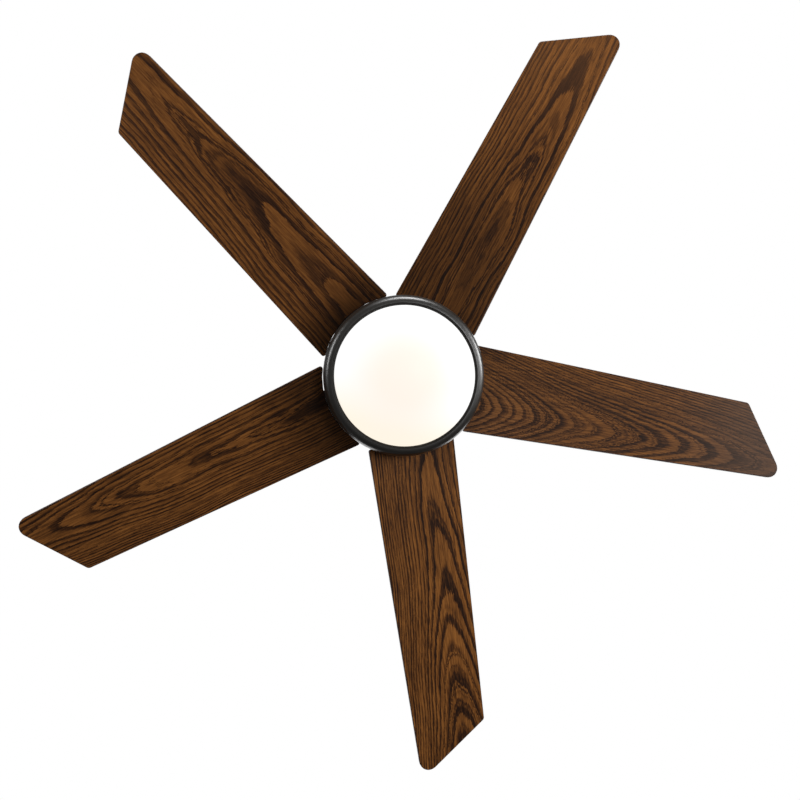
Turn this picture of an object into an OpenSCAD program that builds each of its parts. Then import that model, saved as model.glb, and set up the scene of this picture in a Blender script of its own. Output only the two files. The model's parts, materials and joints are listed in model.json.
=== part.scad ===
// Ceiling fan with five wooden blades and a round opal light, hung from a
// short downrod. Millimetres, +Z up, origin on the ceiling over the fan's axis.
// Everything hangs below z = 0 and the first blade points along +X.

/* [Blades] */
// Distance from the fan's axis to the sharp outer corner of a blade, before rounding
blade_reach = 672; // [520:1:760]
// Width of a blade where it meets the light's ring
blade_root_w = 148.5; // [130:0.5:156]
// Width of a blade at its tip
blade_tip_w = 120; // [100:1:140]
// Thickness of a blade
blade_t = 5.5; // [5:0.5:9]
// Pitch of the blades, trailing edge down
blade_pitch = 12; // [8:0.5:15]
// Slant of the tip's cut
tip_slant = 31; // [0:1:38]
// Corner radius at the tip, on the long edge
long_corner_r = 17.5; // [8:0.5:24]
// Corner radius at the tip, on the short edge
short_corner_r = 7; // [3:0.5:14]
// Corner radius at the root
root_corner_r = 4; // [2:0.5:6]
// Gap between the ring's widest circle and the blades' hollow root edge
root_gap = 2.2; // [0.3:0.1:6]

/* [Blade irons] */
// Width of an iron where it comes out from under the ring
iron_w = 68; // [56:1:80]
// Width of an iron's tongue on the motor
tongue_w = 44; // [38:1:50]
// Thickness of an iron
iron_t = 3; // [2.5:0.5:5]
// Length of an iron that lies on its blade
iron_lap = 76; // [70:1:110]
// Radius of a blade screw's thread
blade_screw_r = 2.5; // [2:0.25:3]
// Distance between the two blade screws nearest the hub
blade_screw_gap = 40; // [30:1:44]
// Distance between the two screws that hold an iron to the motor
iron_screw_gap = 24; // [20:1:28]

/* [Motor] */
// Outer radius of the motor's turning shells
rotor_r = 92; // [90:0.5:98]
// Height of the two shells together
rotor_h = 54; // [52:1:62]
// Wall of the shells
rotor_wall = 4; // [3:0.5:5]
// Outer radius of the stator
stator_r = 70; // [66:0.5:70]
// Height of the stator's laminations
stack_h = 15; // [10:0.5:17]
// Gap between stator and rotor ring
air_gap = 0.5; // [0.3:0.1:1]
// Height of the windings above and below the laminations
coil_h = 8; // [6:0.5:13]
// Number of stator slots
slot_count = 18; // [12:2:24]
// Radius of the hollow shaft in its bearings
shaft_r = 7.5; // [7:0.25:8.5]
// Radius of the shaft's bore for the wires
shaft_bore_r = 4; // [3:0.25:5]
// Outer radius of a bearing
bearing_r = 17.5; // [16.5:0.5:19]
// Width of a bearing
bearing_w = 11; // [10:0.5:12]
// Balls in each bearing
ball_count = 8; // [6:1:8]

/* [Motor housing] */
// Outer radius of the housing
housing_r = 118; // [114:0.5:122]
// Sheet thickness of the housing
housing_t = 1.2; // [0.8:0.1:2]
// Radius of the housing's flat top
housing_flat_r = 60; // [52:1:66]
// Height of the housing's rounded shoulder
housing_round = 36; // [28:1:44]
// Space between the housing's top and the motor
motor_headroom = 14; // [11:0.5:24]
// Number of cooling slots in the shoulder
vent_count = 12; // [8:1:20]
// Width of a cooling slot
vent_w = 5; // [3:0.5:7]

/* [Hanging] */
// Outer radius of the downrod
rod_r = 10.5; // [10:0.25:12.5]
// Wall of the downrod
rod_wall = 2; // [1.5:0.25:3]
// Length of the downrod
rod_len = 150; // [130:1:900]
// Radius of the hanger ball
ball_r = 25; // [23.5:0.5:27]
// Depth of the ball's centre below the ceiling
ball_drop = 48; // [46:0.5:56]
// Thickness of the hanger bracket's steel
bracket_t = 2; // [1.5:0.25:3]
// Width of the hanger bracket
bracket_w = 46; // [40:1:60]
// Distance between the two ceiling screw slots
ceiling_screw_gap = 88.9; // [84:0.1:100]
// Width of a ceiling screw slot
ceiling_slot_w = 5.2; // [4.5:0.1:6.5]
// Length of a ceiling screw slot, end to end
ceiling_slot_len = 12; // [8:0.5:16]
// Outer radius of the canopy
canopy_r = 76; // [72:0.5:90]
// Height of the canopy
canopy_h = 79; // [76:1:100]
// Sheet thickness of the canopy
canopy_t = 1; // [0.8:0.1:1.6]
// Swing of the rod to each side before it meets the canopy's neck
rod_swing = 6; // [2:0.5:8]

/* [Light] */
// Outer radius of the light's ring at its widest
ring_r = 130; // [126:0.5:136]
// Sheet thickness of the ring and its pan
ring_t = 1.2; // [0.8:0.1:2]
// Radius of the ring's rolled lower edge
ring_roll_r = 11; // [8:0.5:13]
// Visible radius of the glass
glass_r = 112; // [108:0.5:116]
// Depth of the glass below its visible edge
glass_depth = 45; // [30:1:70]
// Wall of the glass
glass_t = 3; // [2.5:0.25:4]
// Turn that frees the glass from its lock
glass_twist = 25; // [20:1:35]
// Lights on the board's outer circle
led_count = 24; // [12:1:32]

/* [Hidden] */
$fn = 96;

// clearances
seat = 0.3;              // pieces that sit loosely on each other
run_fit = 0.05;          // ball in its socket, balls in their races
rod_fit = 0.1;           // rod in ball and coupling
eps = 0.01;              // lets a cutter run past a face
blade_count = 5;
blade_turn = 360 / blade_count;
arc_steps = 12;
corner_steps = 8;

// heights, from the ceiling down
ball_z = -ball_drop;
ball_top = 18;                              // flat top of the ball over its centre
ball_low = 20;                              // flat foot of the ball under its centre
rod_top = ball_z + ball_top + 2;
rod_bot = rod_top - rod_len;
coupling_grip = 36;                         // length of rod inside the coupling
coupling_neck = 12;                         // length of shaft inside the coupling
coupling_top = rod_bot + coupling_grip;
coupling_bot = rod_bot - coupling_neck;
housing_top = coupling_bot;
rotor_top = housing_top - housing_t - motor_headroom;
rotor_bot = rotor_top - rotor_h;
rotor_mid = (rotor_top + rotor_bot) / 2;
blade_z = rotor_bot - iron_t - blade_t / 2; // middle of the blades' thickness
blade_fall = blade_root_w / 2 * sin(blade_pitch) + blade_t / 2;
iron_rise = iron_w / 2 * sin(blade_pitch) + blade_t / 2 + iron_t;
iron_fall = iron_w / 2 * sin(blade_pitch) - blade_t / 2;
housing_lip = blade_z + iron_rise + 5;
pan_top = blade_z - iron_fall - 4.8;

// blade outline in the blade's own plane
root_r = ring_r + root_gap;
blade_half_root = blade_root_w / 2;
blade_half_tip = blade_tip_w / 2;
root_u = sqrt(root_r * root_r - blade_half_root * blade_half_root);
edge_slope = (blade_half_root - blade_half_tip) / (blade_reach - root_u);
tip_back = (blade_half_tip * 2 * tan(tip_slant)) / (1 - edge_slope * tan(tip_slant));
short_reach = blade_reach - tip_back;
short_half = blade_half_tip + edge_slope * tip_back;

// iron outline and its screws
tongue_in = 60;
tongue_out = rotor_r + 8;
web_lap = 5;                                // twisted web's hold in tongue and plate
blade_start = sqrt(root_r * root_r - iron_w * iron_w / 4);
plate_in = blade_start - web_lap - 2;       // the web ends short of the blade
web_skin = 0.2;                             // the web is this much thinner on each side
plate_out = root_r + iron_lap;
iron_screw_at = rotor_r - 12;
near_screw_u = root_r + 20;
far_screw_u = plate_out - 16;
blade_screw_spots = [[near_screw_u, blade_screw_gap / 2], [near_screw_u, -blade_screw_gap / 2],
  [far_screw_u, 0]];
insert_wall = 1.1;
insert_r = blade_screw_r + insert_wall;
insert_depth = blade_t - 1;

// motor
boss_wall = 6.5;                            // round each bearing
bearing_lip = 2.5;
low_bearing_z = rotor_bot + bearing_lip;
high_bearing_z = rotor_top - bearing_lip - bearing_w;
hub_r = shaft_r + 4.5;                      // thick middle of the shaft
race_r = (shaft_r + bearing_r) / 2;         // circle of the balls
race_ball_r = (bearing_r - shaft_r) * 0.3;
stack_low = rotor_mid - stack_h / 2;
ring_in = stator_r + air_gap;
rotor_in = rotor_r - rotor_wall;
shell_ear_r = 6;
shell_ear_at = rotor_r + 3;
shell_ear_h = 8;
shell_screw_r = 2;
slot_in = 34;
slot_out = stator_r - 8;
slot_w = PI * slot_in * 2 / slot_count - 5;
shaft_top = rod_bot - 1;
flange_drop = 4;                            // thickness of the light's flange
nut_h = 7;
nut_r = 12.5;
shaft_bot = pan_top - nut_h - 3;

// light
widest_z = blade_z - blade_fall - 12;
shoulder_r = pan_top - widest_z;
side_r = 60;                                // gentle curve under the widest circle
side_turn = 20;
roll_r = ring_r - side_r * (1 - cos(side_turn)) - ring_roll_r * cos(side_turn);
roll_z = widest_z - side_r * sin(side_turn) + ring_roll_r * sin(side_turn);
ring_bot = roll_z - ring_roll_r;
lip_r = glass_r + 1;
lip_turn = 50;                              // how far the edge rolls in and up
lip_roll = (roll_r - lip_r) / sin(lip_turn);
glass_rim = ring_bot + 2;
shoulder_z = glass_rim + 2.5;
neck_r = glass_r - 8.5;
rim_in = neck_r + 0.7;
plate_r = rim_in + 3.8;
rim_t = 1.2;
rim_z = shoulder_z + 5;                     // underside of the plate's inward rim
plate_z = rim_z + 8;
lug_h = 2.5;
lug_reach = plate_r - rim_t - 0.6;
lug_span = 14;
notch_span = 18;
lug_count = 3;
post_at = 80;
board_r = 72;
board_in = 20;
board_t = 1.6;
flange_r = 48;
pan_screw_at = 38;
pan_hole_r = 16;

// hanging gear
canopy_lift = 1;
canopy_bot = -canopy_lift - canopy_h;
swing_gap = 0.1;                            // left between rod and neck at full swing
neck_hole_r = rod_r / cos(rod_swing) + (ball_z - canopy_bot) * sin(rod_swing) + swing_gap;
skirt_z = -canopy_lift - 21;
ear_r = canopy_r - canopy_t - seat;
canopy_screw_z = -14;
ear_w = 14;
leg_x = ball_r + 5;
leg_w = 30;
socket_top = ball_z - 6;
socket_low = ball_z - 19;
socket_r = leg_x + bracket_t + 1;
groove_w = 4.6;
groove_depth = 4;
pin_r = 3;
ball_pin_z = ball_z + 6;
coupling_pin_z = coupling_top - 14;
set_screw_z = coupling_top - 26;
coupling_r = rod_r + 7;
coupling_flange_r = 42;
coupling_flange_t = 5;
housing_screw_at = 33;
cover_top = coupling_top + 10;
cover_r = coupling_flange_r + 5;
cover_t = 1;
cover_gap = 0.6;

// reverse switch in the housing's side
switch_z = housing_lip + 14;
switch_w = 22;
switch_h = 9;
switch_deep = 8;
switch_travel = 4;
switch_y = -(sqrt(pow(housing_r - housing_t, 2) - pow(switch_w / 2, 2)) - seat);
knob_w = 4;

function arc(cx, cy, r, from, to, n = arc_steps) =
  [for (i = [0:n]) let (a = from + (to - from) * i / n) [cx + r * cos(a), cy + r * sin(a)]];
function rev(path) = [for (i = [len(path) - 1:-1:0]) path[i]];
function unit(v) = v / norm(v);
function fillet(a, p, b, r) = r <= 0 ? [p] :
  let (u = unit(a - p), w = unit(b - p), half = acos(u * w) / 2)
  let (c = p + unit(u + w) * r / sin(half), s = p + u * r / tan(half) - c)
  let (e = p + w * r / tan(half) - c, from = atan2(s[1], s[0]), turn = atan2(e[1], e[0]) - from)
  let (sweep = turn > 180 ? turn - 360 : turn < -180 ? turn + 360 : turn)
  arc(c[0], c[1], r, from, from + sweep, corner_steps);
function rounded(pts, radii) = [for (i = [0:len(pts) - 1])
  let (n = len(pts))
  each fillet(pts[(i + n - 1) % n], pts[i], pts[(i + 1) % n], radii[i])];

// quarter of an oval bowl's outline, from its rim (r1, z1) to its neck (r0, z0)
function bowl(r0, z0, r1, z1) = [for (i = [0:arc_steps]) let (a = 90 * i / arc_steps)
  [r0 + (r1 - r0) * cos(a), z1 + (z0 - z1) * sin(a)]];

// pan-head screw, head up, its seat at z = 0
module screw(r, len, head_r, head_h) {
  difference() {
    union() {
      cylinder(r = head_r, h = head_h);
      translate([0, 0, -len]) cylinder(r = r, h = len + eps);
    }
    for (turn = [0, 90])
      rotate([0, 0, turn]) translate([-head_r * 0.6, -r / 5, head_h * 0.45])
        cube([head_r * 1.2, r / 2.5, head_h]);
  }
}

module tube(r_out, r_in, z0, z1) {
  translate([0, 0, z0]) difference() {
    cylinder(r = r_out, h = z1 - z0);
    translate([0, 0, -1]) cylinder(r = r_in, h = z1 - z0 + 2);
  }
}

module hanger_bracket() {
  color("silver") difference() {
    union() {
      intersection() {
        translate([-ear_r, -bracket_w / 2, -bracket_t]) cube([2 * ear_r, bracket_w, bracket_t]);
        translate([0, 0, -bracket_t]) cylinder(r = ear_r, h = bracket_t);
      }
      intersection() {
        tube(ear_r, ear_r - bracket_t, canopy_screw_z - 8, 0);
        translate([-ear_r, -ear_w / 2, canopy_screw_z - 8]) cube([2 * ear_r, ear_w, 40]);
      }
      for (side = [0, 180]) rotate([0, 0, side])
        translate([leg_x, -leg_w / 2, socket_low]) cube([bracket_t, leg_w, -socket_low]);
      translate([0, 0, socket_low]) cylinder(r = socket_r, h = socket_top - socket_low);
    }
    difference() {
      translate([0, 0, ball_z]) sphere(r = ball_r + run_fit);
      socket_tab();
    }
    translate([-rod_r - 1.5, 0, socket_low - 1]) cube([2 * rod_r + 3, socket_r + 5, 40]);
    for (side = [-1, 1]) {
      translate([side * ceiling_screw_gap / 2, 0, 0]) slot_cutter();
      translate([0, side * bracket_w / 2, -bracket_t - 1]) cylinder(r = 9, h = bracket_t + 2);
      translate([side * ear_r, 0, canopy_screw_z]) rotate([0, 90, 0])
        cylinder(r = 2, h = 12, center = true);
    }
  }
}

// the tab that keeps the ball from turning: it stands in the ball's groove
module socket_tab() {
  intersection() {
    translate([-groove_w / 2 + seat, -ball_r - 5, socket_low - 1])
      cube([groove_w - 2 * seat, ball_r, socket_top - socket_low + 2]);
    translate([0, 0, ball_z]) difference() {
      sphere(r = ball_r + 5);
      sphere(r = ball_r - groove_depth + seat * 2);
      cylinder(r = neck_hole_r, h = 3 * ball_r, center = true);
    }
  }
}

module slot_cutter() {
  run = (ceiling_slot_len - ceiling_slot_w) / 2;
  translate([0, 0, -bracket_t - 1]) {
    translate([-run, -ceiling_slot_w / 2, 0]) cube([2 * run, ceiling_slot_w, bracket_t + 2]);
    for (end = [-run, run]) translate([end, 0, 0]) cylinder(d = ceiling_slot_w, h = bracket_t + 2);
  }
}

module remote_receiver() {
  box = [54, 94, 19];
  color("white") translate([-box[0] / 2, -box[1] / 2, -bracket_t - seat - box[2]])
    linear_extrude(box[2]) polygon(rounded([[0, 0], [box[0], 0], [box[0], box[1]], [0, box[1]]],
      [4, 4, 4, 4]));
}

module canopy() {
  outside = concat([[canopy_r, -canopy_lift]], bowl(neck_hole_r, canopy_bot, canopy_r, skirt_z));
  inside = concat([[canopy_r - canopy_t, -canopy_lift]],
    bowl(neck_hole_r, canopy_bot + canopy_t, canopy_r - canopy_t, skirt_z));
  color("#3a302b") difference() {
    rotate_extrude() polygon(concat(outside, rev(inside)));
    for (side = [-1, 1]) translate([side * canopy_r, 0, canopy_screw_z]) rotate([0, 90, 0])
      cylinder(r = 2.3, h = 10, center = true);
  }
}

module canopy_screws() {
  color("#3a302b") for (side = [0, 180])
    rotate([0, 0, side]) translate([canopy_r + seat, 0, canopy_screw_z]) rotate([0, 90, 0])
      screw(2, 7, 4, 2.5);
}

module hanger_ball() {
  color("dimgray") difference() {
    intersection() {
      translate([0, 0, ball_z]) sphere(r = ball_r);
      translate([0, 0, ball_z - ball_low]) cylinder(r = ball_r + 1, h = ball_low + ball_top);
    }
    tube_hole();
    difference() {
      translate([-groove_w / 2, -ball_r - 1, ball_z - ball_r])
        cube([groove_w, ball_r + 1, 2 * ball_r]);
      translate([0, 0, ball_z]) sphere(r = ball_r - groove_depth);
    }
    translate([0, 0, ball_pin_z]) rotate([0, 90, 0])
      cylinder(r = pin_r, h = 3 * ball_r, center = true);
  }
}

module tube_hole() {
  translate([0, 0, ball_z - ball_r]) cylinder(r = rod_r + rod_fit, h = 2 * ball_r);
}

module ball_pin() {
  color("silver") translate([0, 0, ball_pin_z]) rotate([0, 90, 0])
    cylinder(r = pin_r, h = 2 * (ball_r - 3.5), center = true);
}

module downrod() {
  color("#3a302b") difference() {
    tube(rod_r, rod_r - rod_wall, rod_bot, rod_top);
    for (z = [ball_pin_z, coupling_pin_z]) translate([0, 0, z]) rotate([0, 90, 0])
      cylinder(r = pin_r, h = 3 * rod_r, center = true);
  }
}

module wire_sleeve() {
  r = shaft_bore_r - seat;
  color("#222222") difference() {
    translate([0, 0, shaft_bot - 3]) cylinder(r = r, h = rod_top + 3 - shaft_bot);
    for (z = [ball_pin_z, coupling_pin_z]) translate([0, 0, z]) rotate([0, 90, 0])
      cylinder(r = pin_r + seat, h = 3 * r, center = true);
  }
}

module motor_coupling() {
  color("#4a4a4c") difference() {
    union() {
      translate([0, 0, coupling_bot]) cylinder(r = coupling_r, h = coupling_top - coupling_bot);
      translate([0, 0, coupling_bot]) cylinder(r = coupling_flange_r, h = coupling_flange_t);
    }
    translate([0, 0, rod_bot]) cylinder(r = rod_r + rod_fit, h = coupling_grip + 1);
    translate([0, 0, coupling_bot - 1]) cylinder(r = shaft_r, h = coupling_neck + 2);
    translate([0, 0, coupling_pin_z]) rotate([0, 90, 0])
      cylinder(r = pin_r, h = 3 * coupling_r, center = true);
    translate([0, 0, set_screw_z]) rotate([90, 0, 0])
      cylinder(r = pin_r, h = 3 * coupling_r, center = true);
    housing_screw_spots() cylinder(r = 2, h = 40, center = true);
  }
}

module housing_screw_spots() {
  for (i = [0:3]) rotate([0, 0, 45 + 90 * i]) translate([housing_screw_at, 0, housing_top])
    children();
}

module coupling_pin() {
  half = coupling_r + 3.5;
  color("silver") difference() {
    union() {
      translate([0, 0, coupling_pin_z]) rotate([0, 90, 0])
        cylinder(r = pin_r, h = 2 * half, center = true);
      translate([-coupling_r - seat - 2, 0, coupling_pin_z]) rotate([0, 90, 0])
        cylinder(r = pin_r + 1.6, h = 2);
    }
    translate([clip_x(), 0, coupling_pin_z]) cylinder(r = 0.9, h = 20, center = true);
  }
}

function clip_x() = coupling_r + 1.6;

// hairpin clip through the coupling pin's end
module coupling_clip() {
  wire = 0.8;
  color("silver") translate([clip_x(), 0, coupling_pin_z]) {
    translate([0, 0, -7]) cylinder(r = wire, h = 14);
    translate([0, 4, 7]) rotate([90, 0, 90])
      rotate_extrude(angle = 180) translate([4, 0]) circle(r = wire);
    translate([0, 8, -4]) cylinder(r = wire, h = 11);
  }
}

module coupling_set_screws() {
  color("#2a2a2a") for (side = [0, 180]) rotate([0, 0, side])
    translate([0, rod_r, set_screw_z]) rotate([-90, 0, 0]) difference() {
      cylinder(r = pin_r, h = coupling_r - rod_r + 1);
      translate([0, 0, coupling_r - rod_r - 2]) cylinder(r = 1.6, h = 4, $fn = 6);
    }
}

module coupling_cover() {
  bore = rod_r + cover_gap;
  outside = bowl(bore, cover_top, cover_r, housing_top);
  inside = bowl(bore, cover_top - cover_t, cover_r - cover_t, housing_top);
  color("#3a302b") rotate_extrude() polygon(concat(outside, rev(inside)));
}

module motor_housing() {
  side_z = housing_top - housing_round;
  outside = concat([[housing_r, housing_lip]],
    bowl(housing_flat_r, housing_top, housing_r, side_z), [[shaft_r + 2, housing_top]]);
  inside = concat([[housing_r - housing_t, housing_lip]],
    bowl(housing_flat_r, housing_top - housing_t, housing_r - housing_t, side_z),
    [[shaft_r + 2, housing_top - housing_t]]);
  vent_in = housing_flat_r + 8;
  vent_out = vent_in + 24;
  color("#3a302b") difference() {
    union() {
      rotate_extrude() polygon(concat(outside, rev(inside)));
      rotate_extrude() translate([housing_r - housing_t, housing_lip]) circle(r = housing_t);
    }
    housing_screw_spots() cylinder(r = 2.2, h = 6, center = true);
    for (i = [0:vent_count - 1]) rotate([0, 0, (i + 0.5) * 360 / vent_count])
      translate([0, 0, side_z]) {
        for (r = [vent_in, vent_out]) translate([r, 0, 0]) cylinder(d = vent_w, h = 60);
        translate([vent_in, -vent_w / 2, 0]) cube([vent_out - vent_in, vent_w, 60]);
      }
    translate([-(switch_travel + knob_w) / 2 - 0.5, -housing_r - 2, switch_z - 2.5])
      cube([switch_travel + knob_w + 1, 20, 5]);
  }
}

module housing_screws() {
  color("silver") housing_screw_spots() translate([0, 0, -housing_t]) rotate([180, 0, 0])
    screw(2, housing_t + coupling_flange_t - 1, 3.6, 2.4);
}

module reverse_switch() {
  color("#1c1c1e") translate([0, switch_y, switch_z]) difference() {
    translate([-switch_w / 2, 0, -switch_h / 2]) cube([switch_w, switch_deep, switch_h]);
    translate([-7, -1, -2.6]) cube([14, 4, 5.2]);
  }
}

module switch_slider() {
  rest_x = -switch_travel / 2;
  color("black") translate([rest_x, switch_y, switch_z]) {
    translate([-4, seat, -2.3]) cube([8, 2.4, 4.6]);
    translate([-knob_w / 2, -housing_t - 3.2, -2]) cube([knob_w, housing_t + 3.2 + 1, 4]);
  }
}

module motor_shaft() {
  color("silver") difference() {
    union() {
      translate([0, 0, shaft_bot]) cylinder(r = shaft_r, h = shaft_top - shaft_bot);
      translate([0, 0, low_bearing_z + bearing_w])
        cylinder(r = hub_r, h = high_bearing_z - low_bearing_z - bearing_w);
    }
    translate([0, 0, shaft_bot - 1]) cylinder(r = shaft_bore_r, h = shaft_top - shaft_bot + 2);
  }
}

module stator_core() {
  color("slategray") difference() {
    translate([0, 0, stack_low]) cylinder(r = stator_r, h = stack_h);
    translate([0, 0, stack_low - 1]) cylinder(r = hub_r, h = stack_h + 2);
    for (i = [0:slot_count - 1]) rotate([0, 0, i * 360 / slot_count]) {
      translate([slot_in, -slot_w / 2, stack_low - 1]) cube([slot_out - slot_in, slot_w, stack_h + 2]);
      translate([slot_out - 1, -1.2, stack_low - 1]) cube([20, 2.4, stack_h + 2]);
    }
  }
}

module stator_windings() {
  color("peru") {
    for (z = [stack_low - coil_h, stack_low + stack_h])
      rotate_extrude() translate([slot_in - 1, z]) polygon(rounded(
        [[0, 0], [slot_out - slot_in + 2, 0], [slot_out - slot_in + 2, coil_h], [0, coil_h]],
        [3, 3, 3, 3]));
    for (i = [0:slot_count - 1]) rotate([0, 0, i * 360 / slot_count])
      translate([slot_in + seat, -slot_w / 2 + seat, stack_low - 4])
        cube([slot_out - slot_in - 2 * seat, slot_w - 2 * seat, stack_h + 8]);
  }
}

module bearing_ring(r_in, r_out) {
  for (z = [low_bearing_z, high_bearing_z]) rotate_extrude() difference() {
    translate([r_in, z]) square([r_out - r_in, bearing_w]);
    translate([race_r, z + bearing_w / 2]) circle(r = race_ball_r + run_fit);
  }
}

module bearing_inner_rings() {
  color("lightsteelblue") bearing_ring(shaft_r, race_r - race_ball_r * 0.6);
}

module bearing_outer_rings() {
  color("lightsteelblue") bearing_ring(race_r + race_ball_r * 0.6, bearing_r);
}

module ball_spots() {
  for (z = [low_bearing_z, high_bearing_z], i = [0:ball_count - 1])
    rotate([0, 0, i * 360 / ball_count]) translate([race_r, 0, z + bearing_w / 2]) children();
}

module bearing_balls() {
  color("white") ball_spots() sphere(r = race_ball_r);
}

module bearing_cages() {
  cage_half = 0.6;
  color("goldenrod") difference() {
    for (z = [low_bearing_z, high_bearing_z])
      tube(race_r + cage_half, race_r - cage_half, z + 1, z + bearing_w - 1);
    ball_spots() sphere(r = race_ball_r + 0.15);
  }
}

// one half of the motor's shell, its open side at z = 0 and its floor up
module rotor_shell(screw_pads) {
  half_h = rotor_h / 2;
  difference() {
    union() {
      difference() {
        cylinder(r = rotor_r, h = half_h);
        translate([0, 0, -1]) cylinder(r = rotor_in, h = half_h - rotor_wall + 1);
      }
      translate([0, 0, half_h - bearing_lip - bearing_w])
        cylinder(r = bearing_r + boss_wall, h = bearing_lip + bearing_w);
      if (screw_pads) iron_screw_spots()
        translate([0, 0, half_h - 12]) cylinder(r = 5, h = 12);
      for (i = [0:blade_count - 1]) rotate([0, 0, (i + 0.5) * blade_turn])
        translate([shell_ear_at, 0, 0]) cylinder(r = shell_ear_r, h = shell_ear_h);
    }
    translate([0, 0, half_h - bearing_lip - bearing_w - 1])
      cylinder(r = bearing_r, h = bearing_w + 1);
    cylinder(r = race_r, h = half_h + 1);
    translate([0, 0, -1]) cylinder(r = stator_r + 14, h = stack_h / 2 + 6);
    if (screw_pads) iron_screw_spots() translate([0, 0, half_h - 10])
      cylinder(r = blade_screw_r, h = 12);
    shell_screw_spots() translate([0, 0, -1]) cylinder(r = shell_screw_r, h = shell_ear_h + 2);
  }
}

module iron_screw_spots() {
  for (i = [0:blade_count - 1], side = [-1, 1]) rotate([0, 0, i * blade_turn])
    translate([iron_screw_at, side * iron_screw_gap / 2, 0]) children();
}

module shell_screw_spots() {
  for (i = [0:blade_count - 1]) rotate([0, 0, (i + 0.5) * blade_turn])
    translate([shell_ear_at + 1.5, 0, 0]) children();
}

module rotor_lower_shell() {
  color("#8d8d90") translate([0, 0, rotor_mid]) mirror([0, 0, 1]) rotor_shell(true);
}

module rotor_upper_shell() {
  color("#8d8d90") translate([0, 0, rotor_mid]) rotor_shell(false);
}

module rotor_shell_screws() {
  color("silver") shell_screw_spots() translate([0, 0, rotor_mid + shell_ear_h])
    screw(shell_screw_r, 2 * shell_ear_h - 1, 3.4, 2.2);
}

module rotor_ring() {
  ring_out = stator_r + 14;
  end_h = 4;
  color("darkgray") {
    tube(ring_out, ring_in, stack_low, stack_low + stack_h);
    tube(ring_out - 2, ring_in + 1.5, stack_low - end_h, stack_low + stack_h + end_h);
  }
}

// puts a shape of one blade's own plane where that blade is
module at_blade(i) {
  translate([0, 0, blade_z]) rotate([0, 0, i * blade_turn]) rotate([-blade_pitch, 0, 0]) children();
}

module iron_plate_shape() {
  end_w = iron_w * 0.72;
  polygon(rounded([[plate_in, -iron_w / 2], [root_r + 8, -iron_w / 2], [plate_out, -end_w / 2],
    [plate_out, end_w / 2], [root_r + 8, iron_w / 2], [plate_in, iron_w / 2]],
    [0, 20, 16, 16, 20, 0]));
}

module tongue_shape() {
  polygon(rounded([[tongue_in, -tongue_w / 2], [tongue_out, -tongue_w / 2 - 4],
    [tongue_out, tongue_w / 2 + 4], [tongue_in, tongue_w / 2]], [8, 0, 0, 8]));
}

module blade_iron(i) {
  low = blade_t / 2;
  color("#2e2723") difference() {
    union() {
      translate([0, 0, blade_z + low]) rotate([0, 0, i * blade_turn])
        linear_extrude(iron_t) tongue_shape();
      at_blade(i) translate([0, 0, low]) linear_extrude(iron_t) iron_plate_shape();
      hull() {
        translate([0, 0, blade_z]) rotate([0, 0, i * blade_turn])
          translate([tongue_out - web_lap, -tongue_w / 2 - 2, low + web_skin])
            cube([1, tongue_w + 4, iron_t - 2 * web_skin]);
        at_blade(i) translate([plate_in + web_lap, -iron_w / 2 + web_skin, low + web_skin])
          cube([1, iron_w - 2 * web_skin, iron_t - 2 * web_skin]);
      }
    }
    at_blade(i) for (p = blade_screw_spots)
      translate([p[0], p[1], 0]) cylinder(r = blade_screw_r + 0.3, h = 20);
    translate([0, 0, blade_z]) rotate([0, 0, i * blade_turn]) for (side = [-1, 1])
      translate([iron_screw_at, side * iron_screw_gap / 2, 0])
        cylinder(r = blade_screw_r + 0.3, h = 20);
  }
}

module iron_screws() {
  color("silver") translate([0, 0, blade_z + blade_t / 2]) iron_screw_spots()
    rotate([180, 0, 0]) screw(blade_screw_r, iron_t + 9, 4.5, 2.8);
}

module blade_shape() {
  corner = asin(blade_half_root / root_r);
  hollow = arc(0, 0, root_r, -corner, corner, 8);
  inner = [for (i = [1:len(hollow) - 2]) hollow[i]];
  polygon(rounded(concat([[root_u, blade_half_root], [blade_reach, blade_half_tip],
    [short_reach, -short_half], [root_u, -blade_half_root]], inner),
    concat([root_corner_r, long_corner_r, short_corner_r, root_corner_r], [for (p = inner) 0])));
}

module blade(i) {
  color("#5b3a22") at_blade(i) difference() {
    translate([0, 0, -blade_t / 2]) linear_extrude(blade_t) blade_shape();
    for (p = blade_screw_spots) translate([p[0], p[1], blade_t / 2 - insert_depth])
      cylinder(r = insert_r, h = insert_depth + 1);
  }
}

module blade_inserts() {
  color("goldenrod") for (i = [0:blade_count - 1]) at_blade(i) for (p = blade_screw_spots)
    translate([p[0], p[1], 0])
      tube(insert_r, blade_screw_r, blade_t / 2 - insert_depth, blade_t / 2);
}

module blade_screws() {
  color("#2e2723") for (i = [0:blade_count - 1]) at_blade(i) for (p = blade_screw_spots)
    translate([p[0], p[1], blade_t / 2 + iron_t])
      screw(blade_screw_r, iron_t + insert_depth - 0.5, 4.5, 2.6);
}

module light_flange() {
  color("#8d8d90") difference() {
    union() {
      translate([0, 0, pan_top]) cylinder(r = flange_r, h = flange_drop);
      translate([0, 0, pan_top]) cylinder(r = shaft_r + 6, h = blade_z - pan_top);
    }
    translate([0, 0, pan_top - 1]) cylinder(r = shaft_r, h = blade_z - pan_top + 2);
    pan_screw_spots() cylinder(r = 2, h = 20, center = true);
  }
}

module pan_screw_spots() {
  for (a = [30, 150, 270]) rotate([0, 0, a]) translate([pan_screw_at, 0, pan_top]) children();
}

module flange_nut() {
  color("silver") translate([0, 0, pan_top - nut_h]) difference() {
    cylinder(r = nut_r, h = nut_h, $fn = 6);
    translate([0, 0, -1]) cylinder(r = shaft_r, h = nut_h + 2);
  }
}

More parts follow.
